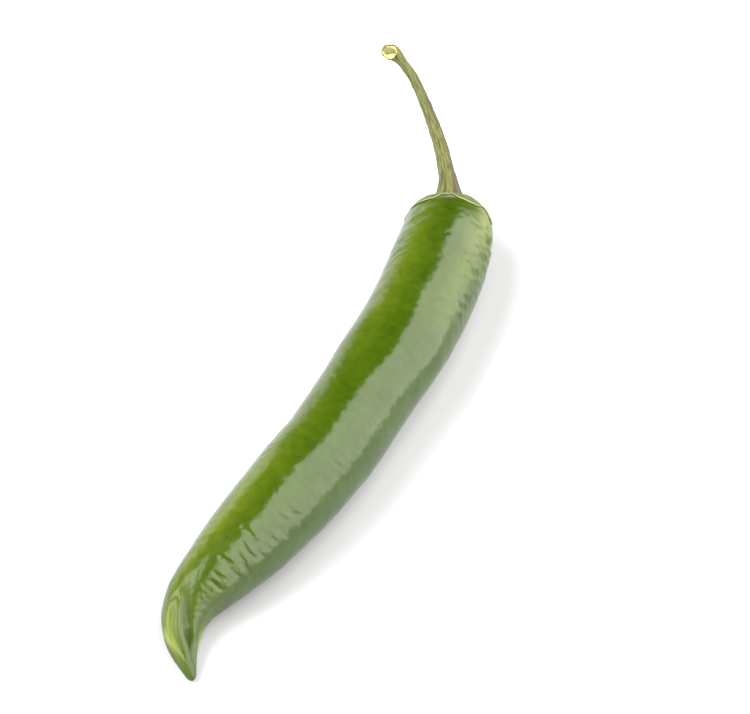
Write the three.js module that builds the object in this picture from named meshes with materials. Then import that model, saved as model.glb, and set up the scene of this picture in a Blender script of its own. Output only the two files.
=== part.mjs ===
// A fresh green chilli pepper, whole, as picked, lying on its side on a flat surface.
// The pod is one solid fruit: a rounded shoulder, a long belly that narrows slowly, and a pointed tip
// that hooks to one side. Its stalk and the green cap that clasps the shoulder (the calyx) grow as one
// piece, so they are one solid, with the pod's shoulder set into the cap.
// Units are millimetres, +Z is up, and the pepper lies on z = 0 with its stalk towards +X. The origin
// is on the surface, in the middle of the pepper's bounding box.
import * as THREE from "three";

// The pod's middle line seen from above, from the shoulder's crown to the tip.
const POD_PLAN = [
  [51.6, -7.4],
  [42.9, -10.3],
  [31.0, -12.6],
  [16.5, -13.8],
  [2.0, -13.4],
  [-12.0, -12.6],
  [-26.0, -11.6],
  [-38.2, -9.4],
  [-52.0, -6.3],
  [-62.5, -3.3],
  [-72.5, -0.4],
  [-80.3, -1.9],
  [-87.1, -7.8],
];

// The pod's girth: its radius at the crown, the shoulder and the belly, and where it starts to taper.
const CROWN_RADIUS = 10.3;
const SHOULDER_RADIUS = 11.5;
const SHOULDER_END = 21;
const BELLY_RADIUS = 10.7;
const TAPER_START = 81.5;
const TAPER_RUN = 63.6;
const TAPER_POWER = 2.34;

// The rounded ends: how far each one reaches along the pod, and how square the shoulder is.
const SHOULDER_DEPTH = 8.5;
const SHOULDER_SQUARENESS = 2.05;
const TIP_DEPTH = 1.0;

// How far the skin is pressed flat where the pod lies on the surface.
const REST_PRESS = 0.2;
// The pod arches a little between its shoulder and its belly, and the tip stands just clear.
const ARCH_RISE = 0.7;
const ARCH_MIDDLE = 58;
const ARCH_REACH = 16;
const TIP_RISE = 0.5;
const TIP_RISE_LENGTH = 25;

// Three shallow lobes, one for each seed chamber, strongest at the shoulder.
const LOBES = 3;
const LOBE_DEPTH = 0.25;
const LOBE_TURN = -1.2;
const LOBE_FADE_START = 20;
const LOBE_FADE_END = 60;

// Broad swellings and hollows of the skin over the seed chambers. Each has its distance from the crown,
// its angle round the pod, how far it reaches along the pod and round it (as an angle), and its height.
const SWELLINGS = [
  { at: 48, angle: 0.21, along: 10, around: 0.45, height: 0.9 },
  { at: 54, angle: 1.75, along: 11, around: 0.52, height: -1.2 },
];

// Folds in the skin of the tip: long grooves that run down to the point, turning as they go. Each has
// its angle round the pod, how far it turns for each millimetre back, half its width as an angle, its
// depth, and where it starts and ends, measured back from the tip. One with a depth below nothing
// stands out as a ridge.
const TIP_FOLDS = [
  { angle: 1.15, turn: 0.06, halfWidth: 0.34, depth: 1.15, from: 2.5, to: 19 },
  { angle: 0.7, turn: 0.07, halfWidth: 0.14, depth: -0.35, from: 3, to: 15 },
  { angle: 1.98, turn: 0.03, halfWidth: 0.2, depth: 0.5, from: 4, to: 14 },
  { angle: 2.38, turn: 0.12, halfWidth: 0.2, depth: -0.4, from: 3.5, to: 12 },
  { angle: 0.06, turn: -0.03, halfWidth: 0.3, depth: -0.4, from: 4, to: 12 },
  { angle: 0, turn: 0, halfWidth: 0.45, depth: 0.4, from: 13, to: 23 },
  { angle: 4.0, turn: 0.05, halfWidth: 0.3, depth: 0.5, from: 3, to: 16 },
];

// The cap on the shoulder: its gap to the pod, its thickness at the stalk and at the edge, and how far
// over the shoulder it reaches, where 1 is the shoulder's end.
const CAP_GAP = 0.3;
const CAP_THICKNESS = 0.8;
const CAP_EDGE_THICKNESS = 0.5;
const CAP_REACH = 0.93;
const CAP_WAVE = 0.015;
const CAP_WAVES = 7;
const CAP_RING_CROWDING = 1.3;
const CAP_RIB_HEIGHT = 0.3;
// The notches of the cap's edge: angle, depth as a share of the way over the shoulder, and half width.
// The widest one clears the surface below. A rib runs up the middle of each tooth between them.
const NOTCHES = [
  { angle: 0.68, depth: 0.12, halfWidth: 0.16 },
  { angle: 1.64, depth: 0.33, halfWidth: 0.18 },
  { angle: 2.72, depth: 0.12, halfWidth: 0.12 },
  { angle: 3.6, depth: 0.2, halfWidth: 0.15 },
  { angle: 4.71, depth: 0.33, halfWidth: 0.38 },
  { angle: 6.2, depth: 0.3, halfWidth: 0.28 },
];
const RIB_ANGLES = [0.35, 1.1, 2.2, 3.15, 4.1, 5.5];
const RIB_HALF_WIDTH = 0.2;

// The stalk: its middle line from the crown of the pod to the broken end, its radius, and the flare
// where it widens into the cap.
const STALK_LINE = [
  [51.6, -7.4, 10.1],
  [56.6, -5.1, 10.4],
  [61.0, -2.7, 10.9],
  [68.5, 2.2, 12.4],
  [75.2, 7.8, 14.4],
  [81.2, 13.7, 16.9],
  [84.0, 17.2, 18.6],
  [85.7, 21.5, 21.2],
  [85.3, 23.3, 22.4],
  [84.3, 24.1, 23.0],
];
const STALK_BASE_RADIUS = 2.0;
const STALK_NECK_RADIUS = 1.15;
const STALK_TAPER_POWER = 1.4;
const STALK_RIB_HEIGHT = 0.1;
const FLARE_HEIGHT = 10.6;
const FLARE_WIDTH = 1.2;
// The broken end: it swells a little, is torn off at a slant that faces one way, and is hollow. The
// slant begins at a share of the way along the stalk.
const BREAK_LENGTH = 6;
const BREAK_RADIUS = 1.95;
const BREAK_SLANT = 2.6;
const BREAK_FACES = 2.5;
const BREAK_BEGINS = 0.8;
const BREAK_HOLLOW = 0.7;

// How finely the solids are drawn, and how far the pod's rings crowd towards its ends.
const POD_RINGS = 76;
const POD_SIDES = 44;
const POD_RING_CROWDING = 0.7;
const CAP_RINGS = 12;
const UNDER_RINGS = 7;
const STALK_RINGS = 24;
const STALK_SIDES = 44;

const UP = new THREE.Vector3(0, 0, 1);
const FULL_TURN = 2 * Math.PI;

// 0 below a, 1 above b, and an S-shaped rise between them.
const ease = (x, a, b) => THREE.MathUtils.smoothstep(x, a, b);

// A hump of height 1 at the middle that dies away over the reach on each side.
const hump = (x, middle, reach) => Math.exp(-(((x - middle) / reach) ** 2));

// The shortest way round from one angle to another.
function angleBetween(a, b) {
  return Math.atan2(Math.sin(a - b), Math.cos(a - b));
}

// The pod's radius without its rounded ends, at a distance s from the crown.
function girth(s) {
  const shoulder = THREE.MathUtils.lerp(CROWN_RADIUS, SHOULDER_RADIUS, ease(s, 0, SHOULDER_END));
  const slimming = (SHOULDER_RADIUS - BELLY_RADIUS) * ease(s, SHOULDER_END, TAPER_START);
  const taper = Math.max(0, (s - TAPER_START) / TAPER_RUN) ** TAPER_POWER;
  return (shoulder - slimming) * (1 - taper);
}

const podPlan = new THREE.CatmullRomCurve3(
  POD_PLAN.map(([x, y]) => new THREE.Vector3(x, y, 0)),
  false,
  "catmullrom",
  0.5,
);
const POD_LENGTH = podPlan.getLength();

// A point of the pod's middle line: its height is what lays the belly on the surface.
function podMiddle(s) {
  const p = podPlan.getPointAt(THREE.MathUtils.clamp(s / POD_LENGTH, 0, 1));
  const arch = ARCH_RISE * hump(s, ARCH_MIDDLE, ARCH_REACH);
  const tip = TIP_RISE * ease(s, POD_LENGTH - TIP_RISE_LENGTH, POD_LENGTH);
  p.z = girth(s) - REST_PRESS + arch + tip;
  return p;
}

// The directions at a point of a line: along it, across it (level), and square to both.
function frameAt(line, s, length) {
  const step = 0.5;
  const ahead = line(Math.min(s + step, length));
  const behind = line(Math.max(s - step, 0));
  const along = ahead.sub(behind).normalize();
  const across = new THREE.Vector3().crossVectors(UP, along).normalize();
  const above = new THREE.Vector3().crossVectors(along, across);
  return { middle: line(s), along, across, above };
}

// Radius over girth as the ends round off: 0 at the crown and the tip, 1 between them.
function endRounding(s) {
  const fromCrown = 1 - Math.min(1, s / SHOULDER_DEPTH);
  const crown = (1 - fromCrown ** SHOULDER_SQUARENESS) ** (1 / SHOULDER_SQUARENESS);
  const fromTip = 1 - Math.min(1, (POD_LENGTH - s) / TIP_DEPTH);
  return crown * Math.sqrt(Math.max(0, 1 - fromTip ** 2));
}

// How deep the tip's folds are at a place on the skin.
function foldDepth(s, angle) {
  const back = POD_LENGTH - s;
  return TIP_FOLDS.reduce((sum, fold) => {
    const middle = (fold.from + fold.to) / 2;
    const reach = (fold.to - fold.from) / 2;
    const fading = hump(back, middle, reach * 0.8);
    const turned = fold.angle + fold.turn * (back - middle);
    return sum + fold.depth * fading * hump(angleBetween(angle, turned), 0, fold.halfWidth);
  }, 0);
}

// How far the skin stands out at a place, over its swellings and hollows.
function swelling(s, angle) {
  return SWELLINGS.reduce((sum, one) => {
    const around = hump(angleBetween(angle, one.angle), 0, one.around);
    return sum + one.height * hump(s, one.at, one.along) * around;
  }, 0);
}

// A point of the pod's skin, at a distance s from the crown and an angle round the middle line.
// Angle 0 is level, towards -Y, and a quarter turn is the top.
function podSkin(s, angle) {
  const { middle, along, across, above } = frameAt(podMiddle, s, POD_LENGTH);
  const fade = 1 - ease(s, LOBE_FADE_START, LOBE_FADE_END);
  const lobes = LOBE_DEPTH * Math.cos(LOBES * angle + LOBE_TURN) * fade;
  const relief = lobes + swelling(s, angle) - foldDepth(s, angle);
  const radius = Math.max(0, (girth(s) + relief) * endRounding(s));
  const outward = across.multiplyScalar(Math.cos(angle)).addScaledVector(above, Math.sin(angle));
  const point = middle.addScaledVector(outward, radius);
  point.z = Math.max(point.z, 0);
  return { point, outward, along };
}

// Joins rings of points, all with the same number of sides, into one closed skin with a point at each
// end. The rings run so that the skin faces outwards.
function skinOver(firstPoint, rings, lastPoint) {
  const sides = rings[0].length;
  const positions = [firstPoint, ...rings.flat(), lastPoint].flatMap((p) => p.toArray());
  const last = rings.length * sides + 1;
  const at = (ring, side) => 1 + ring * sides + (side % sides);
  const triangles = [];
  for (let side = 0; side < sides; side++) {
    triangles.push(0, at(0, side + 1), at(0, side));
    triangles.push(last, at(rings.length - 1, side), at(rings.length - 1, side + 1));
    for (let ring = 0; ring < rings.length - 1; ring++) {
      const a = at(ring, side);
      const b = at(ring, side + 1);
      const c = at(ring + 1, side);
      const d = at(ring + 1, side + 1);
      triangles.push(a, b, c, b, d, c);
    }
  }
  const geometry = new THREE.BufferGeometry();
  geometry.setAttribute("position", new THREE.Float32BufferAttribute(positions, 3));
  geometry.setIndex(triangles);
  geometry.computeVertexNormals();
  return geometry;
}

const anglesOf = (sides) => Array.from({ length: sides }, (_, i) => (i / sides) * FULL_TURN);

// The pod: rings close together at both round ends and about 2 mm apart on the belly.
function podGeometry() {
  const rings = [];
  for (let i = 1; i < POD_RINGS; i++) {
    const t = i / POD_RINGS;
    const s = POD_LENGTH * (t - (POD_RING_CROWDING * Math.sin(FULL_TURN * t)) / FULL_TURN);
    rings.push(anglesOf(POD_SIDES).map((angle) => podSkin(s, angle).point));
  }
  return skinOver(podMiddle(0), rings, podMiddle(POD_LENGTH));
}

// A place on the shoulder's superellipse: the radius as a share of the girth, and the distance from the
// crown. Over is 0 at the crown and 1 where the shoulder ends, in even turns.
function shoulderPlace(over) {
  const turn = (over * Math.PI) / 2;
  const share = Math.sin(turn) ** (2 / SHOULDER_SQUARENESS);
  const s = SHOULDER_DEPTH * (1 - Math.cos(turn) ** (2 / SHOULDER_SQUARENESS));
  return { share, s };
}

// A point over the shoulder, raised from the pod's skin along the skin's own outward direction.
function overShoulder(over, angle, rise) {
  const { share, s } = shoulderPlace(over);
  const { point, outward, along } = podSkin(s, angle);
  const power = SHOULDER_SQUARENESS - 1;
  const sideways = share ** power / CROWN_RADIUS;
  const endways = (1 - s / SHOULDER_DEPTH) ** power / SHOULDER_DEPTH;
  const normal = outward.clone().multiplyScalar(sideways).addScaledVector(along, -endways).normalize();
  return point.addScaledVector(normal, rise);
}

// How near an angle is to a rib: 1 at its middle, 0 between the ribs.
function ribAt(angle) {
  return Math.max(...RIB_ANGLES.map((rib) => hump(angleBetween(angle, rib), 0, RIB_HALF_WIDTH)));
}

// How far over the shoulder the cap's edge lies: it waves a little, and its notches part its teeth.
function capEdge(angle) {
  const notches = NOTCHES.reduce((sum, notch) => {
    return sum + notch.depth * hump(angleBetween(angle, notch.angle), 0, notch.halfWidth);
  }, 0);
  return CAP_REACH - notches + CAP_WAVE * Math.sin(CAP_WAVES * angle);
}

const stalkCurve = new THREE.CatmullRomCurve3(
  STALK_LINE.map((p) => new THREE.Vector3(...p)),
  false,
  "catmullrom",
  0.5,
);
const STALK_LENGTH = stalkCurve.getLength();

function stalkMiddle(s) {
  return stalkCurve.getPointAt(THREE.MathUtils.clamp(s / STALK_LENGTH, 0, 1));
}

// The stalk's radius at a distance s from the crown, ribs and broken end included.
function stalkRadius(s, angle) {
  const neck = STALK_LENGTH - BREAK_LENGTH;
  const left = THREE.MathUtils.clamp((neck - s) / (neck - FLARE_HEIGHT), 0, 1);
  const plain = THREE.MathUtils.lerp(STALK_NECK_RADIUS, STALK_BASE_RADIUS, left ** STALK_TAPER_POWER);
  const swell = (BREAK_RADIUS - STALK_NECK_RADIUS) * ease(s, neck, STALK_LENGTH - 1);
  return plain + swell + STALK_RIB_HEIGHT * (2 * ribAt(angle) - 1);
}

// A ring of the stalk, a share of the way from the flare to the torn end, drawn in to a share of its
// radius. Rings near the end lean until they match the slant of the tear.
// The line runs away from the pod, so its directions are turned to match the pod's.
function stalkRing(alongShare, radiusShare) {
  return anglesOf(STALK_SIDES).map((angle) => {
    const slant = (BREAK_SLANT / 2) * (1 + Math.cos(angle - BREAK_FACES)) * ease(alongShare, BREAK_BEGINS, 1);
    const s = THREE.MathUtils.lerp(FLARE_HEIGHT + 1, STALK_LENGTH, alongShare) - slant;
    const { middle, across, above } = frameAt(stalkMiddle, s, STALK_LENGTH);
    const radius = stalkRadius(s, angle) * radiusShare;
    return middle
      .addScaledVector(across, -Math.cos(angle) * radius)
      .addScaledVector(above, Math.sin(angle) * radius);
  });
}

// The flare where the stalk widens into the cap: it rises steeply near the stalk.
function flareRise(distance) {
  return (FLARE_HEIGHT - CAP_GAP - CAP_THICKNESS) * Math.exp(-(distance - STALK_BASE_RADIUS) / FLARE_WIDTH);
}

// A ring of the cap's outer face, from the stalk (t = 0) to the edge (t = 1). The flare leans the way
// that the stalk grows.
function capRing(t) {
  const lean = stalkMiddle(FLARE_HEIGHT).sub(podMiddle(0)).divideScalar(FLARE_HEIGHT);
  const innerShare = STALK_BASE_RADIUS / CROWN_RADIUS;
  const inner = Math.asin(innerShare ** (SHOULDER_SQUARENESS / 2)) / (Math.PI / 2);
  return anglesOf(STALK_SIDES).map((angle) => {
    const over = THREE.MathUtils.lerp(inner, capEdge(angle), t ** CAP_RING_CROWDING);
    const rib = CAP_RIB_HEIGHT * ribAt(angle) * (1 - t);
    const thickness = THREE.MathUtils.lerp(CAP_THICKNESS, CAP_EDGE_THICKNESS, t) + rib;
    const rise = flareRise(shoulderPlace(over).share * CROWN_RADIUS);
    return overShoulder(over, angle, CAP_GAP + thickness).addScaledVector(lean, rise);
  });
}

// A ring of the cap's underside, which follows the shoulder at an even gap.
function underRing(t) {
  return anglesOf(STALK_SIDES).map((angle) => overShoulder(capEdge(angle) * t, angle, CAP_GAP));
}

// The stalk and the cap in one skin: torn end, stalk, flare, cap, edge, and the underside.
function stalkGeometry() {
  const end = frameAt(stalkMiddle, STALK_LENGTH - BREAK_SLANT / 2, STALK_LENGTH);
  const hollow = end.middle.addScaledVector(end.along, -BREAK_HOLLOW);
  const rings = [stalkRing(1, 0.55), stalkRing(1, 0.88)];
  for (let i = STALK_RINGS; i >= 0; i--) {
    rings.push(stalkRing(i / STALK_RINGS, 1));
  }
  for (let i = 0; i <= CAP_RINGS; i++) {
    rings.push(capRing(i / CAP_RINGS));
  }
  for (let i = UNDER_RINGS; i >= 1; i--) {
    rings.push(underRing(i / UNDER_RINGS));
  }
  const inside = overShoulder(0, 0, CAP_GAP);
  return skinOver(hollow, rings, inside);
}

function solid(name, geometry, colour, roughness) {
  const material = new THREE.MeshStandardMaterial({ color: colour, roughness, metalness: 0 });
  const mesh = new THREE.Mesh(geometry, material);
  mesh.name = name;
  return mesh;
}

const pepper = new THREE.Group();
pepper.add(solid("pod", podGeometry(), 0x4f7a10, 0.25));
pepper.add(solid("stalk_and_calyx", stalkGeometry(), 0x7b8444, 0.7));

export default pepper;
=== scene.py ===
# A fresh green chilli pepper, whole, as picked, lying on its side on a white table.
# It is built in the order it grows together: the pod, then the stalk with the cap that clasps the
# pod's shoulder, then the table, the lights and the camera. Lengths are in millimetres, and the meshes
# are turned into metres as they are made. +Z is up and the stalk points towards +X.
import bpy
import numpy as np
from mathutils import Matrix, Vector


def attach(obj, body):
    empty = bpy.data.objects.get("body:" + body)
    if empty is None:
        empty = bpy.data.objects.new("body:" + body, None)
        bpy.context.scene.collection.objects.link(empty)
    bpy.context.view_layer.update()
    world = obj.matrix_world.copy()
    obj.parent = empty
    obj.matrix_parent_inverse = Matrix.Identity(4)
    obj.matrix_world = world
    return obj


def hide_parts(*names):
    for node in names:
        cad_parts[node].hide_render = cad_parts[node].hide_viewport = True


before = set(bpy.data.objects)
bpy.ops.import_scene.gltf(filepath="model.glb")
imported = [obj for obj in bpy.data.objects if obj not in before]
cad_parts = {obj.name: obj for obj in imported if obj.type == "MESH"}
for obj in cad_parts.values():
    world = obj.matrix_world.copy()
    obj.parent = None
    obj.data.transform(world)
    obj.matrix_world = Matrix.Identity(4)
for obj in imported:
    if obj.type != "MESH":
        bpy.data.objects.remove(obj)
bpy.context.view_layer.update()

# The pod.
# The fruit: one hollow berry with a thick, waxy green wall, grown in one piece. A rounded shoulder,
# a long belly that narrows slowly, and a pointed tip that hooks aside. It lies on its own skin, which
# presses a little flat. Its gloss comes from the wax, and its faint cross wrinkles from drying.
MM = 0.001
POD_PLAN = [
    (51.6, -7.4),
    (42.9, -10.3),
    (31.0, -12.6),
    (16.5, -13.8),
    (2.0, -13.4),
    (-12.0, -12.6),
    (-26.0, -11.6),
    (-38.2, -9.4),
    (-52.0, -6.3),
    (-62.5, -3.3),
    (-72.5, -0.4),
    (-80.3, -1.9),
    (-87.1, -7.8),
]
CROWN_RADIUS = 10.3
SHOULDER_RADIUS = 11.5
SHOULDER_END = 21
BELLY_RADIUS = 10.7
TAPER_START = 81.5
TAPER_RUN = 63.6
TAPER_POWER = 2.34
SHOULDER_DEPTH = 8.5
SHOULDER_SQUARENESS = 2.05
TIP_DEPTH = 1.0
REST_PRESS = 0.2
ARCH_RISE = 0.7
ARCH_MIDDLE = 58
ARCH_REACH = 16
TIP_RISE = 0.5
TIP_RISE_LENGTH = 25
LOBES = 3
LOBE_DEPTH = 0.25
LOBE_TURN = -1.2
LOBE_FADE = (20, 60)
POD_RINGS = 480
POD_SIDES = 205
POD_RING_CROWDING = 0.35
CURVE_STEPS = 120
FRAME_STEP = 0.5
# The folds of the tip: angle round the pod, how far it turns for each millimetre back, half width as
# an angle, depth, and where each one starts and ends, measured back from the point. A fold with a
# depth below nothing stands out as a ridge. Each fades over a share of its own length.
TIP_FOLDS = [
    (1.15, 0.06, 0.34, 1.15, 2.5, 19),
    (0.7, 0.07, 0.14, -0.35, 3, 15),
    (1.98, 0.03, 0.2, 0.5, 4, 14),
    (2.38, 0.12, 0.2, -0.4, 3.5, 12),
    (0.06, -0.03, 0.3, -0.4, 4, 12),
    (0.0, 0.0, 0.45, 0.4, 13, 23),
    (4.0, 0.05, 0.3, 0.5, 3, 16),
]
FOLD_FADE = 0.4
# Swellings and hollows of the skin over the seed chambers and at the folds: distance from the crown,
# angle round the pod in degrees, how far each reaches along and round, and its height.
SWELLINGS = [
    (9, 68, 6, 34, 0.5),
    (48, 12, 10, 26, 0.9),
    (54, 100, 11, 30, -1.2),
    (29, 92, 5, 22, -0.25),
    (86, 95, 4, 18, -0.2),
    (131, 114, 1.6, 9, -0.45),
    (133, 66, 0.6, 12, 0.45),
    (136.2, 53, 2.6, 8, -0.45),
]
# The soft unevenness of the skin, as sets of waves: their height, the shortest and the longest of
# them, how many times they wind round the pod at most, the seed and how many there are.
SKIN_WAVES = [
    (0.05, (14, 40), 3, 3, 40),
    (0.02, (5, 14), 9, 5, 60),
    (0.01, (1.6, 4), 34, 9, 110),
]
# Wrinkled patches: distance from the crown, angle, reach along and round, and the wrinkles' depth.
WRINKLED = [
    (27, 40, 5.5, 14, 0.2),
    (11.5, 56, 2.5, 8, 0.08),
    (9, 22, 6, 17, 0.34),
    (18, 20, 7, 14, 0.36),
    (31, 24, 7, 11, 0.28),
    (38, 36, 5, 6, 0.07),
    (60, 40, 7, 8, 0.04),
    (80, 45, 6, 9, 0.09),
    (86, 46, 2.2, 11, 0.14),
    (93, 36, 5, 10, 0.1),
    (103, 45, 5, 15, 0.17),
    (115, 50, 7, 20, 0.18),
    (126, 45, 4, 12, 0.09),
    (92, 132, 2.5, 10, 0.14),
    (62, 118, 9, 14, 0.07),
    (42, 124, 4, 12, 0.08),
    (13, 122, 6, 16, 0.28),
    (24, 136, 8, 15, 0.14),
    (25, 110, 4, 9, 0.07),
    (115, 126, 6, 14, 0.12),
]
# The waves in those patches, given like the skin's but without a height. Crumples near the shoulder
# give way to wrinkles across the pod between two distances from the crown.
CRUMPLES = ((2.2, 7), 14, 14, 120)
CROSS_WRINKLES = ((1.5, 3.6), 9, 15, 90)
CRUMPLES_GIVE_WAY = (50, 85)
WRINKLE_HEIGHT = 0.6
# Single creases: where each crosses the pod, its first and last angle, how far it slants along the pod
# on the way, half its width, and its depth. They wander a little, and fade towards their ends.
CREASES = [
    (21.6, 62, 28, 0.9, 0.45, 0.16),
    (23.4, 54, 30, 0.6, 0.4, 0.12),
    (93.9, 86, 42, -0.3, 0.4, 0.2),
    (109.8, 88, 60, 0.1, 0.45, 0.22),
    (112.4, 74, 30, 0.2, 0.45, 0.24),
    (117.0, 84, 52, 0.4, 0.45, 0.22),
    (100.6, 60, 32, 0.9, 0.45, 0.22),
    (86.5, 56, 30, 0.5, 0.45, 0.18),
    (105.3, 50, 24, 0.3, 0.4, 0.16),
    (121.5, 66, 34, 0.4, 0.45, 0.18),
    (92.3, 142, 120, 0.8, 0.4, 0.16),
    (128.2, 126, 96, 0.0, 0.4, 0.2),
    (125.6, 150, 128, 0.0, 0.4, 0.2),
]
CREASE_WANDER = 0.3
CREASE_WAVES = ((8, 20), 14, 17, 40)
CREASE_FADE = 0.5
# Under the cap the skin is smoother: the share of its relief there, and where the rest comes in.
CROWN_RELIEF = 0.25
CROWN_RELIEF_RISE = (5, 11)
# Paler patches of the skin, partly paler skin and partly painted light: distance from the crown, angle,
# reach along and round, and strength.
PALE_AND_LIT_PATCHES = [
    # These first two, on the left flank, are paler skin and also painted light on the pod's left side.
    (25, 125, 45, 22, 0.3),
    (110, 122, 28, 24, 0.4),
    (7, 33, 13, 22, 0.4),
    (10.5, 38, 4, 10, 0.35),
    (5, 5, 12, 20, 0.45),
    (28, 45, 14, 16, 0.22),
    (128, 50, 12, 50, 0.12),
    (135, 128, 5, 30, 0.5),
    (135, 2, 5, 16, 0.4),
]


def ease(x, a, b):
    """0 below a, 1 above b, and an S-shaped rise between them."""
    t = np.clip((x - a) / (b - a), 0, 1)
    return t * t * (3 - 2 * t)


def hump(x, middle, reach):
    """A bell of height 1 at the middle that dies away over the reach on each side."""
    return np.exp(-(((x - middle) / reach) ** 2))


def angle_between(a, b):
    """The shortest way round from one angle to another."""
    return np.arctan2(np.sin(a - b), np.cos(a - b))


def smooth_line(points):
    """A curve through the points, as a function of the distance along it, with its length.
    Between two points it is the cubic that leaves each one parallel to the way from the point before
    it to the point after it, at half that way's length."""
    p = np.array(points, float)
    p = np.vstack([2 * p[0] - p[1], p, 2 * p[-1] - p[-2]])
    t = np.linspace(0, 1, CURVE_STEPS, endpoint=False)[:, None]
    stretches = [
        b + 0.5 * t * (c - a + t * (2 * a - 5 * b + 4 * c - d + t * (3 * b - a - 3 * c + d)))
        for a, b, c, d in zip(p, p[1:], p[2:], p[3:])
    ]
    drawn = np.vstack([*stretches, p[-2:-1]])
    distance = np.append(0, np.cumsum(np.linalg.norm(np.diff(drawn, axis=0), axis=1)))

    def at(s):
        return np.stack([np.interp(s, distance, column) for column in drawn.T], axis=-1)

    return at, distance[-1]


def frame_at(line, s, length):
    """The directions at a point of a line: along it, from a short step before the point to one after
    it, then level across it, and square to both."""
    along = line(np.minimum(s + FRAME_STEP, length)) - line(np.maximum(s - FRAME_STEP, 0))
    along /= np.linalg.norm(along, axis=-1, keepdims=True)
    across = np.cross([0, 0, 1], along)
    across /= np.linalg.norm(across, axis=-1, keepdims=True)
    return along, across, np.cross(along, across)


pod_plan, POD_LENGTH = smooth_line(POD_PLAN)


def girth(s):
    """The pod's radius without its rounded ends: it swells from the crown to the shoulder, slims
    slowly along the belly, and tapers by a power of the distance past the taper's start."""
    shoulder = CROWN_RADIUS + (SHOULDER_RADIUS - CROWN_RADIUS) * ease(s, 0, SHOULDER_END)
    slimming = (SHOULDER_RADIUS - BELLY_RADIUS) * ease(s, SHOULDER_END, TAPER_START)
    taper = np.maximum(0, (s - TAPER_START) / TAPER_RUN) ** TAPER_POWER
    return (shoulder - slimming) * (1 - taper)


def pod_middle(s):
    """The middle line: its plan, and a height that lays the belly on the table, with a slight arch
    between shoulder and belly and a slight rise at the tip."""
    arch = ARCH_RISE * hump(s, ARCH_MIDDLE, ARCH_REACH)
    tip = TIP_RISE * ease(s, POD_LENGTH - TIP_RISE_LENGTH, POD_LENGTH)
    height = girth(s) - REST_PRESS + arch + tip
    return np.concatenate([pod_plan(s), height[..., None]], axis=-1)


def end_rounding(s):
    """Radius over girth as the ends round off: a superellipse at the crown, a circle at the tip."""
    from_crown = 1 - np.minimum(1, s / SHOULDER_DEPTH)
    crown = (1 - from_crown**SHOULDER_SQUARENESS) ** (1 / SHOULDER_SQUARENESS)
    from_tip = 1 - np.minimum(1, (POD_LENGTH - s) / TIP_DEPTH)
    return crown * np.sqrt(np.maximum(0, 1 - from_tip**2))


def fold_depth(s, angle):
    """The tip's folds: each is a bell across and along, on a line that turns as it runs back."""
    back = POD_LENGTH - s
    depth = 0
    for middle_angle, turn, half_width, deep, start, end in TIP_FOLDS:
        middle = (start + end) / 2
        turned = middle_angle + turn * (back - middle)
        across = hump(angle_between(angle, turned), 0, half_width)
        depth = depth + deep * hump(back, middle, FOLD_FADE * (end - start)) * across
    return depth


def ripples(s, angle, lengths, turns, seed, count):
    """A random relief of height about 1: the sum of many waves, each with its own length along the
    pod between the two lengths, a whole number of turns round it, and its own phase."""
    draw = np.random.default_rng(seed)
    pitch = 2 * np.pi / draw.uniform(*lengths, count)
    winding = draw.integers(-turns, turns + 1, count)
    phase = draw.uniform(0, 2 * np.pi, count)
    waves = sum(np.cos(k * s + m * angle + p) for k, m, p in zip(pitch, winding, phase))
    return waves * np.sqrt(2 / count)


def degrees_past(angle, middle):
    """How many degrees an angle lies past a middle given in degrees."""
    return np.degrees(angle_between(angle, np.radians(middle)))


def blotches(s, angle, places):
    """Soft spots on the skin: the sum of bells along and round the pod, each with its own height."""
    return sum(
        height * hump(s, at, along) * hump(degrees_past(angle, middle), 0, around)
        for at, middle, along, around, height in places
    )


def skin_relief(s, angle):
    """The fine unevenness of the skin: soft waves, its wrinkled patches, and its creases, each a
    narrow valley that crosses the pod at a slant and wanders. All of it is fainter at the crown."""
    relief = sum(height * ripples(s, angle, *waves) for height, *waves in SKIN_WAVES)
    crumples = ripples(s, angle, *CRUMPLES)
    cross_wrinkles = ripples(s, angle, *CROSS_WRINKLES)
    wrinkles = crumples + (cross_wrinkles - crumples) * ease(s, *CRUMPLES_GIVE_WAY)
    relief = relief + WRINKLE_HEIGHT * blotches(s, angle, WRINKLED) * wrinkles
    wander = CREASE_WANDER * ripples(s, angle, *CREASE_WAVES)
    for at, first, last, slant, half_width, depth in CREASES:
        share = degrees_past(angle, (first + last) / 2) / (abs(last - first) / 2)
        valley = hump(s, at + slant * share + wander, half_width)
        relief = relief - depth * valley * ease(1 - np.abs(share), 0, CREASE_FADE)
    return relief * (CROWN_RELIEF + (1 - CROWN_RELIEF) * ease(s, *CROWN_RELIEF_RISE))


def pod_skin(s, angle, relief=0):
    """A point of the skin, at a distance s from the crown and an angle round the middle line: the
    middle line plus the radius in the outward direction, and nowhere below the table. The radius is
    the girth with its lobes, swellings and relief, less the folds, times the rounding of the ends.
    Angle 0 is level, towards -Y, and a quarter turn is the top."""
    along, across, above = frame_at(pod_middle, s, POD_LENGTH)
    lobes = LOBE_DEPTH * np.cos(LOBES * angle + LOBE_TURN) * (1 - ease(s, *LOBE_FADE))
    broad = lobes + blotches(s, angle, SWELLINGS) - fold_depth(s, angle)
    radius = np.maximum(0, (girth(s) + broad + relief) * end_rounding(s))
    outward = across * np.cos(angle)[..., None] + above * np.sin(angle)[..., None]
    point = pod_middle(s) + outward * radius[..., None]
    point[..., 2] = np.maximum(point[..., 2], 0)
    return point, outward, along


def angles_of(sides):
    """Angles of a full turn, as one row."""
    return np.linspace(0, 2 * np.pi, sides, endpoint=False)[None, :]


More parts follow.
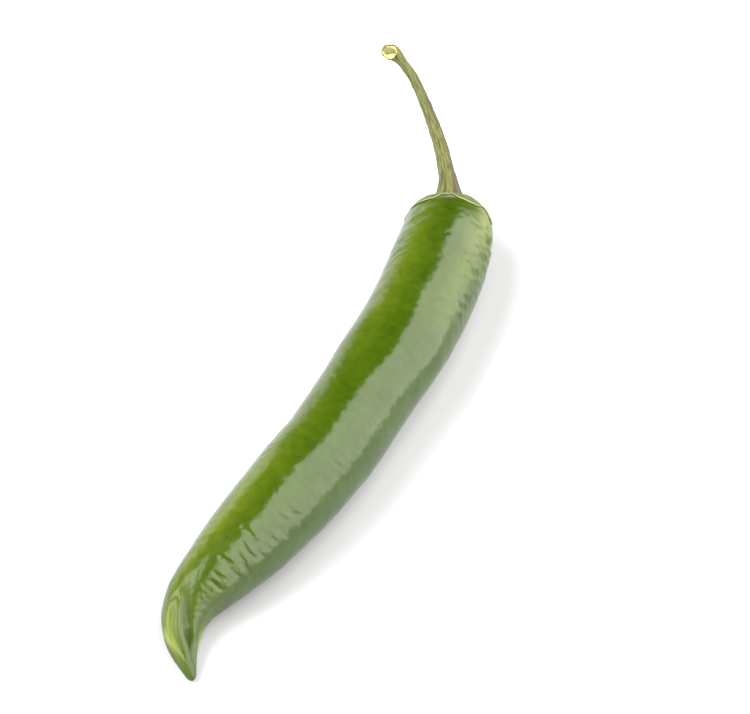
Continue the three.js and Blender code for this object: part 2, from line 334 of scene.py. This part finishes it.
def skin_over(name, first, rings, last, **kept):
    """A closed mesh from a stack of rings of points with a single point at each end, its faces
    pointing outwards. What is kept with it is three numbers for each point, by name, for its
    material to read."""
    count, sides = rings.shape[:2]
    points = np.vstack([first, rings.reshape(-1, 3), last]) * MM
    ring, side = np.meshgrid(np.arange(count - 1), np.arange(sides), indexing="ij")
    here = 1 + ring * sides + side
    beside = 1 + ring * sides + (side + 1) % sides
    quads = np.stack([here, beside, beside + sides, here + sides], axis=-1).reshape(-1, 4)
    near = np.arange(sides)
    far = (near + 1) % sides
    end = len(points) - 1 - sides
    first_fan = np.stack([0 * near, 1 + far, 1 + near], axis=-1)
    last_fan = np.stack([0 * near + len(points) - 1, end + near, end + far], axis=-1)
    mesh = bpy.data.meshes.new(name)
    mesh.from_pydata(points.tolist(), [], [*quads.tolist(), *first_fan.tolist(), *last_fan.tolist()])
    mesh.shade_smooth()
    for label, values in kept.items():
        layer = mesh.attributes.new(label, "FLOAT_VECTOR", "POINT")
        layer.data.foreach_set("vector", values.astype(np.float32).ravel())
    piece = bpy.data.objects.new(name, mesh)
    bpy.context.scene.collection.objects.link(piece)
    return piece


def unrolled(along, angle, radius, first, last):
    """The place of each point on a straight round bar: two coordinates round it, and one along it.
    The places along it of the two end points are given first and last."""
    around = radius * np.cos(angle), radius * np.sin(angle)
    rings = np.stack(np.broadcast_arrays(*around, along), axis=-1)
    return np.vstack([[[0, 0, first]], rings.reshape(-1, 3), [[0, 0, last]]])


share = (np.arange(1, POD_RINGS) / POD_RINGS)[:, None]
pod_s = POD_LENGTH * (share - POD_RING_CROWDING * np.sin(2 * np.pi * share) / (2 * np.pi))
pod_angle = angles_of(POD_SIDES)
s_grid, angle_grid = np.broadcast_arrays(pod_s, pod_angle)
pod_relief = skin_relief(s_grid, angle_grid)
paleness_and_light = np.clip(blotches(s_grid, angle_grid, PALE_AND_LIT_PATCHES), 0, 1)
folded = fold_depth(s_grid, angle_grid)
wrinkled = blotches(s_grid, angle_grid, WRINKLED)
pod_tone = np.stack([paleness_and_light, folded, wrinkled], axis=-1).reshape(-1, 3)
pod = skin_over(
    "pod_skin",
    pod_middle(np.array(0.0)),
    pod_skin(s_grid, angle_grid, pod_relief)[0],
    pod_middle(np.array(POD_LENGTH)),
    grain=unrolled(pod_s, pod_angle, BELLY_RADIUS, pod_s[0, 0], pod_s[-1, 0]),
    tone=np.vstack([pod_tone[:1], pod_tone, pod_tone[-1:]]),
)


class Wire:
    """An output of a node in a material. Python's operators on it add the Math nodes that work the
    sum out, and its node method adds any other kind of node."""

    def __init__(self, tree, socket=None):
        self.tree = tree
        self.socket = socket

    def node(self, kind, settings=None, inputs=None, output=0):
        """Adds a node of a kind: its settings first, then the value or link of each socket."""
        made = self.tree.nodes.new("ShaderNode" + kind)
        for name, value in (settings or {}).items():
            setattr(made, name, value)
        for key, value in (inputs or {}).items():
            if isinstance(value, Wire):
                self.tree.links.new(value.socket, made.inputs[key])
            else:
                made.inputs[key].default_value = value
        return Wire(self.tree, made.outputs[output] if len(made.outputs) else None)

    def math(self, operation, a, b):
        return self.node("Math", {"operation": operation}, {0: a, 1: b})

    def __add__(self, other):
        return self.math("ADD", self, other)

    def __sub__(self, other):
        return self.math("SUBTRACT", self, other)

    def __rsub__(self, other):
        return self.math("SUBTRACT", other, self)

    def __mul__(self, other):
        return self.math("MULTIPLY", self, other)

    __radd__ = __add__

    def rise(self, start, end):
        """0 below the start, 1 above the end, and an S-shaped rise between them."""
        settings = {"interpolation_type": "SMOOTHSTEP"}
        return self.node("MapRange", settings, {"Value": self, "From Min": start, "From Max": end})

    def part(self, axis):
        """One coordinate of the wire's vector: 0, 1 or 2."""
        return self.node("SeparateXYZ", inputs={0: self}, output=axis)

    def scaled(self, factors):
        """The wire's vector with each of its coordinates multiplied."""
        return self.node("VectorMath", {"operation": "MULTIPLY"}, {0: self, 1: factors})

    def noise(self, scale=1.0, detail=3.0, roughness=0.6):
        """Soft random blotches on the wire's vector, from 0 to 1, with so many to a unit."""
        inputs = {"Vector": self, "Scale": scale, "Detail": detail, "Roughness": roughness}
        return self.node("TexNoise", inputs=inputs)

    def tint(self, under, over):
        """A colour that goes from one to another as the wire goes from 0 to 1. Inputs 6 and 7 and
        output 2 are the ones for colours."""
        settings = {"data_type": "RGBA"}
        return self.node("Mix", settings, {0: self, 6: under, 7: over}, output=2)


def new_material(name):
    """An empty material, and a wire to draw its nodes from."""
    made = bpy.data.materials.new(name)
    made.use_nodes = True
    made.node_tree.nodes.clear()
    return made, Wire(made.node_tree)


# The skin's colours. Its body goes from deep to fresh green by soft clouds, a mottle and cross
# streaks: how many of each lie in a millimetre, where in the noise each begins and ends, and its share.
DEEP_GREEN = (0.0172, 0.0395, 0.0006, 1)
FRESH_GREEN = (0.029, 0.0555, 0.0015, 1)
PALE_GREEN = (0.12, 0.158, 0.012, 1)
# The darker green of the painted shade in the folds of the tip.
GROOVE_SHADE_GREEN = (0.02, 0.042, 0.0008, 1)
CLOUDS_PER_MM = 0.12
CLOUD_EDGES = (0.38, 0.62)
CLOUD_SHARE = 0.4
MOTTLES_PER_MM = 0.5
MOTTLE_EDGES = (0.35, 0.65)
MOTTLE_SHARE = 0.4
STREAKS_PER_MM = (0.15, 0.15, 0.9)
STREAK_EDGES = (0.4, 0.7)
STREAK_SHARE = 0.2
# Which heights of a fold count as a ridge and which depths as a groove, and how strongly each is
# coloured: the ridges lighter as a painted highlight, the grooves darker as painted shade. A pale patch
# has its least strength everywhere, and the mottle adds to it.
RIDGE_HEIGHTS = (0.02, 0.35)
RIDGE_PAINTED_HIGHLIGHT = 0.4
GROOVE_DEPTHS = (0.2, 0.8)
GROOVE_PAINTED_SHADE = 0.6
PATCH_LEAST = 0.5
# The grain that breaks up the gloss: its depth, how fine it is, and the height of each kind in it.
GRAIN_DEPTH = 0.045
FINE_GRAIN_PER_MM = 1.1
FINE_GRAIN_HEIGHT = 0.8
CROSS_GRAIN_PER_MM = (0.3, 0.3, 1.3)
CROSS_GRAIN_SHARPNESS = 0.65
CROSS_GRAIN_HEIGHT = 0.45
WRINKLE_GRAIN_HEIGHT = 26
# How rough the wax is, and how much rougher where it is mottled, grooved, wrinkled or near the tip.
WAX_ROUGHNESS = 0.14
WAX_IOR = 1.5
MOTTLE_ROUGHNESS = 0.08
TIP_ROUGHNESS = 0.16
TIP_ROUGHNESS_REACH = (4, 26)
GROOVE_ROUGHNESS = 0.25
WRINKLE_ROUGHNESS = 0.3


def pod_material():
    """Waxy green skin: deep green, mottled, with paler patches, some of them painted light on its left
    flank, and faint cross streaks, with a painted highlight on the ridges of the tip and painted shade
    in its folds, under a gloss that fine grain breaks up."""
    made, start = new_material("waxy_green_skin")
    grain = start.node("Attribute", {"attribute_name": "grain"}, output="Vector")
    tone = start.node("Attribute", {"attribute_name": "tone"}, output="Vector")
    back = POD_LENGTH - grain.part(2)
    pale_and_lit = tone.part(0)
    fold = tone.part(1)
    wrinkled = tone.part(2)
    clouds = grain.noise(CLOUDS_PER_MM, roughness=0.5).rise(*CLOUD_EDGES)
    mottle = grain.noise(MOTTLES_PER_MM)
    streaks = grain.scaled(STREAKS_PER_MM).noise().rise(*STREAK_EDGES)
    freshness = clouds * CLOUD_SHARE + mottle.rise(*MOTTLE_EDGES) * MOTTLE_SHARE + streaks * STREAK_SHARE
    body = freshness.tint(DEEP_GREEN, FRESH_GREEN)
    # The tip's ridges get a painted highlight and its grooves painted shade.
    ridge = (0 - fold).rise(*RIDGE_HEIGHTS)
    groove = fold.rise(*GROOVE_DEPTHS)
    colour = (pale_and_lit * (PATCH_LEAST + mottle) + ridge * RIDGE_PAINTED_HIGHLIGHT).tint(body, PALE_GREEN)
    colour = (groove * GROOVE_PAINTED_SHADE).tint(colour, GROOVE_SHADE_GREEN)
    fine = grain.noise(FINE_GRAIN_PER_MM)
    cross = grain.scaled(CROSS_GRAIN_PER_MM).noise(roughness=CROSS_GRAIN_SHARPNESS)
    height = fine * FINE_GRAIN_HEIGHT + cross * (CROSS_GRAIN_HEIGHT + wrinkled * WRINKLE_GRAIN_HEIGHT)
    grain_relief = {"Strength": 1.0, "Distance": GRAIN_DEPTH * MM, "Height": height}
    bump = start.node("Bump", inputs=grain_relief)
    near_tip = 1 - back.rise(*TIP_ROUGHNESS_REACH)
    gloss = WAX_ROUGHNESS + mottle * MOTTLE_ROUGHNESS + near_tip * TIP_ROUGHNESS
    gloss = gloss + groove * GROOVE_ROUGHNESS + wrinkled * WRINKLE_ROUGHNESS
    look = {"Base Color": colour, "Roughness": gloss, "IOR": WAX_IOR, "Normal": bump}
    shader = start.node("BsdfPrincipled", inputs=look)
    start.node("OutputMaterial", inputs={"Surface": shader})
    return made


pod.data.materials.append(pod_material())
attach(pod, "root")
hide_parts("pod")

# The stalk and calyx.
# The stalk and the green cap that clasps the pod's shoulder are one growth, tougher and duller than
# the pod. The stalk is ribbed and bends over to a torn end; the cap flares out of it like a trumpet,
# ends in small uneven teeth, and hugs the skin under it.
CAP_GAP = 0.1
CAP_THICKNESS = 0.8
CAP_EDGE_THICKNESS = 0.17
CAP_REACH = 0.93
CAP_WAVE = 0.015
CAP_WAVES = 7
CAP_RAGGEDNESS = 0.01
CAP_RAGGED_WAVES = ((1, 2), 30, 12, 40)
CAP_RING_CROWDING = 1.3
CAP_RIB_HEIGHT = 0.3
# The cap carries on the stalk's fine relief, over so many millimetres of it. By its edge the relief
# has faded by this share.
CAP_RELIEF_RUN = 10
CAP_RELIEF_FADE = 0.6
# The notches of the cap's edge: angle, depth as a share of the way over the shoulder, half width. The
# widest one clears the table. A rib runs up the middle of each tooth between them.
NOTCHES = [
    (0.68, 0.12, 0.16),
    (1.64, 0.33, 0.18),
    (2.72, 0.12, 0.12),
    (3.6, 0.2, 0.15),
    (4.71, 0.33, 0.38),
    (6.2, 0.3, 0.28),
]
RIB_ANGLES = [0.35, 1.1, 2.2, 3.15, 4.1, 5.5]
RIB_HALF_WIDTH = 0.2
STALK_LINE = [
    (51.6, -7.4, 10.1),
    (56.6, -5.1, 10.4),
    (61.0, -2.7, 10.9),
    (68.5, 2.2, 12.4),
    (75.2, 7.8, 14.4),
    (81.2, 13.7, 16.9),
    (84.0, 17.2, 18.6),
    (85.7, 21.5, 21.2),
    (85.3, 23.3, 22.4),
    (84.3, 24.1, 23.0),
]
STALK_BASE_RADIUS = 2.0
STALK_NECK_RADIUS = 1.15
STALK_TAPER_POWER = 1.4
STALK_RIB_HEIGHT = 0.1
FLARE_HEIGHT = 10.6
FLARE_WIDTH = 1.2
# The stalk's first ring stands this far past the flare, and its swelling is full this far from the end.
STALK_JOIN = 1
BREAK_FULL = 1
# The wander of the fine ribs round the stalk, as waves: how far each goes, as an angle, how many
# millimetres a radian of it takes, and its start.
RIB_WANDER = [(0.35, 9, 0), (0.2, 3.7, 1)]
# The fine ribs: how many go round, their height, how far they follow the wander, and their start.
FINE_RIBS = [(11, 0.05, 1, 0), (23, 0.025, -2, 1)]
STALK_KNOB_HEIGHT = 0.03
STALK_KNOBS = ((1.5, 8), 9, 21, 40)
BREAK_LENGTH = 6
BREAK_RADIUS = 1.95
BREAK_SLANT = 2.6
BREAK_FACES = 2.5
BREAK_BEGINS = 0.8
BREAK_HOLLOW = 0.7
BREAK_HOLLOW_POWER = 3
# The torn face: its innermost ring, and the height, waves and fading of its roughness.
TORN_MIDDLE = 0.08
TORN_HEIGHT = 0.12
TORN_WAVES = ((2, 7), 6, 31, 40)
TORN_RUN = 12
TORN_FADE_POWER = 4
STALK_SIDES = 160
STALK_RINGS = 190
CAP_RINGS = 80
UNDER_RINGS = 24
UNDER_MIDDLE = 0.05
BREAK_RINGS = 14
# For its material the piece is unrolled: the torn face goes on this far past the stalk's end, the cap
# counts down from the flare's height to 0 at its edge, and the cap's underside goes from this far
# below 0 to twice as far.
STALK_GRAIN_RADIUS = 2
TORN_GRAIN = 3
UNDER_GRAIN = 5

stalk_line, STALK_LENGTH = smooth_line(STALK_LINE)
stalk_angle = angles_of(STALK_SIDES)


def rib_at(angle):
    """How near an angle is to a rib: 1 at its middle, 0 between the ribs."""
    return np.max([hump(angle_between(angle, rib), 0, RIB_HALF_WIDTH) for rib in RIB_ANGLES], axis=0)


def cap_edge(angle):
    """How far over the shoulder the cap's edge lies: its reach less the notches, each a bell, with a
    slow wave and a ragged line."""
    notches = sum(deep * hump(angle_between(angle, at), 0, half) for at, deep, half in NOTCHES)
    ragged = CAP_RAGGEDNESS * ripples(0 * angle, angle, *CAP_RAGGED_WAVES)
    return CAP_REACH - notches + CAP_WAVE * np.sin(CAP_WAVES * angle) + ragged


def shoulder_place(over):
    """The radius as a share of the girth, and the distance from the crown, on the shoulder's
    superellipse. Over is 0 at the crown and 1 where the shoulder ends, in even turns."""
    turn = np.asarray(over) * np.pi / 2
    share = np.sin(turn) ** (2 / SHOULDER_SQUARENESS)
    return share, SHOULDER_DEPTH * (1 - np.cos(turn) ** (2 / SHOULDER_SQUARENESS))


def over_shoulder(over, angle, rise):
    """A point over the shoulder, raised from the pod's skin along the skin's outward direction."""
    share, s = shoulder_place(over)
    point, outward, along = pod_skin(s, angle)
    power = SHOULDER_SQUARENESS - 1
    sideways = share**power / CROWN_RADIUS
    endways = (1 - s / SHOULDER_DEPTH) ** power / SHOULDER_DEPTH
    normal = outward * sideways[..., None] - along * endways[..., None]
    normal /= np.linalg.norm(normal, axis=-1, keepdims=True)
    return point + normal * np.asarray(rise)[..., None]


def stalk_relief(s, angle):
    """The stalk's fine ribs, each set a cosine round it that wanders a little, and its knobs."""
    wander = sum(reach * np.sin(s / length + start) for reach, length, start in RIB_WANDER)
    ribs = sum(
        height * np.cos(count * angle + share * wander + start)
        for count, height, share, start in FINE_RIBS
    )
    return ribs + STALK_KNOB_HEIGHT * ripples(s, angle, *STALK_KNOBS)


def stalk_rings(along_share, radius_share):
    """Rings of the stalk, a share of the way from the flare to the torn end, drawn in to a share of
    the radius. The radius falls from the base to the neck by a power, swells at the break, and
    carries the ribs and the fine relief. Rings near the end lean to match the slant of the tear."""
    lean = (1 + np.cos(stalk_angle - BREAK_FACES)) * ease(along_share, BREAK_BEGINS, 1)
    start = FLARE_HEIGHT + STALK_JOIN
    s = start + (STALK_LENGTH - start) * along_share - BREAK_SLANT / 2 * lean
    neck = STALK_LENGTH - BREAK_LENGTH
    left = np.clip((neck - s) / (neck - FLARE_HEIGHT), 0, 1)
    plain = STALK_NECK_RADIUS + (STALK_BASE_RADIUS - STALK_NECK_RADIUS) * left**STALK_TAPER_POWER
    swell = (BREAK_RADIUS - STALK_NECK_RADIUS) * ease(s, neck, STALK_LENGTH - BREAK_FULL)
    ribs = STALK_RIB_HEIGHT * (2 * rib_at(stalk_angle) - 1)
    radius = (plain + swell + ribs + stalk_relief(s, stalk_angle)) * radius_share
    _, across, above = frame_at(stalk_line, s, STALK_LENGTH)
    sideways = across * (np.cos(stalk_angle) * radius)[..., None]
    return stalk_line(s) - sideways + above * (np.sin(stalk_angle) * radius)[..., None], s


def cap_rings(t):
    """Rings of the cap's outer face, from the stalk at t = 0 to the edge at t = 1. The cap thins
    evenly to its edge and carries the ribs and the fine relief. Its flare dies away exponentially
    with the distance from the stalk, and leans the way the stalk grows."""
    lean = (stalk_line(FLARE_HEIGHT) - pod_middle(np.array(0.0))) / FLARE_HEIGHT
    inner = np.arcsin((STALK_BASE_RADIUS / CROWN_RADIUS) ** (SHOULDER_SQUARENESS / 2)) * 2 / np.pi
    over = inner + (cap_edge(stalk_angle) - inner) * t**CAP_RING_CROWDING
    rib = CAP_RIB_HEIGHT * rib_at(stalk_angle) * (1 - t)
    fine = stalk_relief(CAP_RELIEF_RUN * (1 - t), stalk_angle) * (1 - CAP_RELIEF_FADE * t)
    thickness = CAP_THICKNESS + (CAP_EDGE_THICKNESS - CAP_THICKNESS) * t + rib + fine
    past = shoulder_place(over)[0] * CROWN_RADIUS - STALK_BASE_RADIUS
    flare = (FLARE_HEIGHT - CAP_GAP - CAP_THICKNESS) * np.exp(-past / FLARE_WIDTH)
    return over_shoulder(over, stalk_angle, CAP_GAP + thickness) + flare[..., None] * lean


def torn_rings(share):
    """Rings of the torn face, each drawn in to a share of the stalk's radius: a bowl that deepens
    inwards by a power, with a roughness that fades to the rim, sunk along the stalk's end."""
    rough = TORN_HEIGHT * ripples(TORN_RUN * share, stalk_angle, *TORN_WAVES)
    face, _ = stalk_rings(1 + 0 * share, share)
    end_along, _, _ = frame_at(stalk_line, np.array(STALK_LENGTH - BREAK_SLANT / 2), STALK_LENGTH)
    hollow = BREAK_HOLLOW * (1 - share**BREAK_HOLLOW_POWER) + rough * (1 - share**TORN_FADE_POWER)
    return face - end_along * hollow[..., None]


def column(start, end, count, **more):
    """Even steps from a start to an end as one column, to go with the row of angles."""
    return np.linspace(start, end, count, **more)[:, None]


torn_share = column(TORN_MIDDLE, 1, BREAK_RINGS, endpoint=False)
torn = torn_rings(torn_share)
stem, stem_s = stalk_rings(column(1, 0, STALK_RINGS), 1)
cap_t = column(0, 1, CAP_RINGS)
cap = cap_rings(cap_t)
under_t = column(1, UNDER_MIDDLE, UNDER_RINGS)
under = over_shoulder(cap_edge(stalk_angle) * under_t, stalk_angle, CAP_GAP)
places = np.concatenate([
    STALK_LENGTH + TORN_GRAIN * (1 - torn_share) + 0 * stalk_angle,
    stem_s,
    FLARE_HEIGHT * (1 - cap_t) + 0 * stalk_angle,
    -UNDER_GRAIN * (2 - under_t) + 0 * stalk_angle,
])
stalk = skin_over(
    "stalk_and_calyx_skin",
    torn[0].mean(axis=0),
    np.concatenate([torn, stem, cap, under]),
    over_shoulder(np.array(0.0), np.array(0.0), CAP_GAP),
    grain=unrolled(places, stalk_angle, STALK_GRAIN_RADIUS, STALK_LENGTH + TORN_GRAIN, -2 * UNDER_GRAIN),
)

# The stalk's colours, and how many fibres, patches and specks lie in a millimetre round and along it.
OLIVE = (0.038, 0.043, 0.008, 1)
LIGHT_OLIVE = (0.122, 0.132, 0.042, 1)
LEAF_GREEN = (0.07, 0.1, 0.018, 1)
DULL_BROWN = (0.05, 0.036, 0.026, 1)
DRY_EDGE = (0.26, 0.28, 0.13, 1)
PITH_CREAM = (0.6, 0.57, 0.24, 1)
BARK_BROWN = (0.08, 0.055, 0.02, 1)
FIBRES_PER_MM = (3.0, 3.0, 0.3)
FIBRE_DETAIL = 4.0
FIBRE_EDGES = (0.35, 0.62)
PATCHES_PER_MM = (0.6, 0.6, 0.15)
SPECKS_PER_MM = (2.0, 2.0, 1.2)
SPECK_EDGES = (0.55, 0.75)
SPECK_STRENGTH = 0.6
LEAF_STRENGTH = 0.7
# The brown side: how strongly it keeps to one side, where in the noise it lies, and where up the
# stalk it begins.
SIDE_PULL = 0.22
SIDE_EDGES = (0.55, 0.9)
SIDE_BEGINS = (3, 8)
SIDE_STRENGTH = 0.8
# The dry edge of the cap: where it fades out above the edge and below it, in unrolled millimetres,
# and which specks break it up.
DRY_ABOVE = (0.03, 0.25)
DRY_BELOW = (-6, -5)
DRY_SPECKS = (0.2, 0.5)
# The torn face: how softly it begins, where its rim of bark ends, the least strength of that bark,
# and the olive hollow in its pith, which grows inwards and is pulled to one side.
TORN_BLEND = 0.1
BARK_ENDS = (0.35, 0.85)
BARK_LEAST = 0.3
HOLLOW_FALL = 0.35
HOLLOW_PULL = 0.3
HOLLOW_EDGES = (0.95, 1.45)
HOLLOW_STRENGTH = 0.8
FIBRE_DEPTH = 0.08
FIBRE_BUMP = 0.5
STALK_ROUGHNESS = 0.6
STALK_IOR = 1.45


def stalk_material():
    """Dull olive green with fine lengthwise streaks, greyish brown down one side and in spots, greener
    on the cap, with a pale dry edge to the cap and pale pith where the stalk is torn."""
    made, start = new_material("stalk_green")
    grain = start.node("Attribute", {"attribute_name": "grain"}, output="Vector")
    across = grain.part(0)
    place = grain.part(2)
    past_end = place - STALK_LENGTH
    fibres = grain.scaled(FIBRES_PER_MM).noise(detail=FIBRE_DETAIL)
    patches = grain.scaled(PATCHES_PER_MM).noise(roughness=0.5)
    specks = grain.scaled(SPECKS_PER_MM).noise(roughness=0.5)
    colour = fibres.rise(*FIBRE_EDGES).tint(OLIVE, LIGHT_OLIVE)
    colour = ((1 - place.rise(0, FLARE_HEIGHT)) * LEAF_STRENGTH).tint(colour, LEAF_GREEN)
    brown_side = (across * SIDE_PULL + patches).rise(*SIDE_EDGES) * place.rise(*SIDE_BEGINS)
    colour = (brown_side * SIDE_STRENGTH).tint(colour, DULL_BROWN)
    colour = (specks.rise(*SPECK_EDGES) * SPECK_STRENGTH).tint(colour, DULL_BROWN)
    edge = (1 - place.rise(*DRY_ABOVE)) * place.rise(*DRY_BELOW)
    colour = (edge * specks.rise(*DRY_SPECKS)).tint(colour, DRY_EDGE)
    hollow = (past_end * HOLLOW_FALL + specks + across * HOLLOW_PULL).rise(*HOLLOW_EDGES)
    pith = (hollow * HOLLOW_STRENGTH).tint(PITH_CREAM, OLIVE)
    torn_part = past_end.rise(-TORN_BLEND, TORN_BLEND)
    colour = torn_part.tint(colour, pith)
    bark = torn_part * (1 - past_end.rise(*BARK_ENDS)) * (BARK_LEAST + specks)
    colour = bark.tint(colour, BARK_BROWN)
    fibre_relief = {"Strength": FIBRE_BUMP, "Distance": FIBRE_DEPTH * MM, "Height": fibres}
    bump = start.node("Bump", inputs=fibre_relief)
    look = {"Base Color": colour, "Roughness": STALK_ROUGHNESS, "IOR": STALK_IOR, "Normal": bump}
    shader = start.node("BsdfPrincipled", inputs=look)
    start.node("OutputMaterial", inputs={"Surface": shader})
    return made


stalk.data.materials.append(stalk_material())
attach(stalk, "root")
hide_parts("stalk_and_calyx")

# The table.
# A plain matt white surface, far larger than the pepper, with nothing else on it. Its white is a
# little cool, to stay neutral under the warm lights. Its size is in metres.
TABLE_HALF = 6.0
TABLE_WHITE = (0.394, 0.413, 0.439, 1)
TABLE_ROUGHNESS = 0.6
TABLE_SPECULAR = 0.2

table_mesh = bpy.data.meshes.new("table")
corners = [(-1, -1), (1, -1), (1, 1), (-1, 1)]
table_mesh.from_pydata([(x * TABLE_HALF, y * TABLE_HALF, 0) for x, y in corners], [], [(0, 1, 2, 3)])
table = bpy.data.objects.new("table", table_mesh)
bpy.context.scene.collection.objects.link(table)
table_paint, start = new_material("matt_white")
matt = {"Base Color": TABLE_WHITE, "Roughness": TABLE_ROUGHNESS, "Specular IOR Level": TABLE_SPECULAR}
white = start.node("BsdfPrincipled", inputs=matt)
start.node("OutputMaterial", inputs={"Surface": white})
table_mesh.materials.append(table_paint)

# The lights.
# On the camera's right, a long softbox runs along the pepper and makes the bright band down the pod.
# On its left, a smaller one and a card behind it brighten the pod's side, and a high key light, which
# no gloss mirrors, throws the soft shadow. The room is dark above, and pale at the horizon like a
# white studio sweep. Distances and sizes of lights are in metres.
# The lights and the camera face one point, on the table under the pod.
AIM = Vector((9.2, -6.3, 0)) * MM
LAMP_TINT = (1.05, 1.0, 0.94)
ROOM_GREY = (0.02, 0.02, 0.02, 1)
SWEEP_GREY = (0.65, 0.65, 0.65, 1)
SWEEP_HEIGHTS = (0.02, 0.22)


def softbox(name, direction, distance, size, radiance, slide=0.0, mirrored=True):
    """A rectangular light that faces the pepper from a direction, slid sideways along its width. Its
    power is its radiance times pi times its area. One that isn't mirrored lights things but doesn't
    show in their gloss."""
    light = bpy.data.lights.new(name, "AREA")
    light.shape = "RECTANGLE"
    light.color = LAMP_TINT
    light.size, light.size_y = size
    light.energy = radiance * np.pi * size[0] * size[1]
    lamp = bpy.data.objects.new(name, light)
    bpy.context.scene.collection.objects.link(lamp)
    away = Vector(direction).normalized()
    turn = away.to_track_quat("Z", "Y")
    lamp.location = AIM + away * distance + turn @ Vector((slide, 0, 0))
    lamp.rotation_euler = turn.to_euler()
    lamp.visible_camera = False
    lamp.visible_glossy = mirrored


softbox(
    "right_softbox",
    direction=(0, -0.72, 0.694),
    distance=0.8,
    size=(2.5, 1.65),
    radiance=4.35,
    slide=0.5,
)
softbox("left_softbox", direction=(-0.53, 0.73, 0.5), distance=1.0, size=(0.62, 0.86), radiance=4.3)
softbox("back_card", direction=(0.31, 0.93, 0.2), distance=1.3, size=(0.7, 0.5), radiance=1.5)
softbox(
    "left_key",
    direction=(-0.3, 0.64, 0.98),
    distance=1.2,
    size=(0.75, 0.75),
    radiance=17.0,
    mirrored=False,
)

world = bpy.data.worlds.new("studio")
bpy.context.scene.world = world
world.use_nodes = True
world.node_tree.nodes.clear()
sky = Wire(world.node_tree)
height = sky.node("TexCoord", output="Generated").part(2)
sweep = (1 - height.rise(*SWEEP_HEIGHTS)).tint(ROOM_GREY, SWEEP_GREY)
glow = sky.node("Background", inputs={"Color": sweep, "Strength": 1.0})
sky.node("OutputWorld", inputs={"Surface": glow})

# The camera.
# It looks down on the pepper from beyond its tip, from the side the tip hooks to. Its distance and
# its near and far limits are in metres.
AZIMUTH = np.radians(-66)
ELEVATION = np.radians(50)
DISTANCE = 0.49
LENS = 100
SENSOR = 36
NEAREST = 0.01
FARTHEST = 100

camera_data = bpy.data.cameras.new("camera")
camera_data.lens = LENS
camera_data.sensor_width = SENSOR
camera_data.clip_start = NEAREST
camera_data.clip_end = FARTHEST
camera = bpy.data.objects.new("camera", camera_data)
bpy.context.scene.collection.objects.link(camera)
flat = np.cos(ELEVATION)
back = Vector((np.sin(AZIMUTH) * flat, -np.cos(AZIMUTH) * flat, np.sin(ELEVATION)))
camera.location = AIM + back * DISTANCE
camera.rotation_euler = back.to_track_quat("Z", "Y").to_euler()
bpy.context.scene.camera = camera
bpy.context.scene.view_settings.view_transform = "Standard"
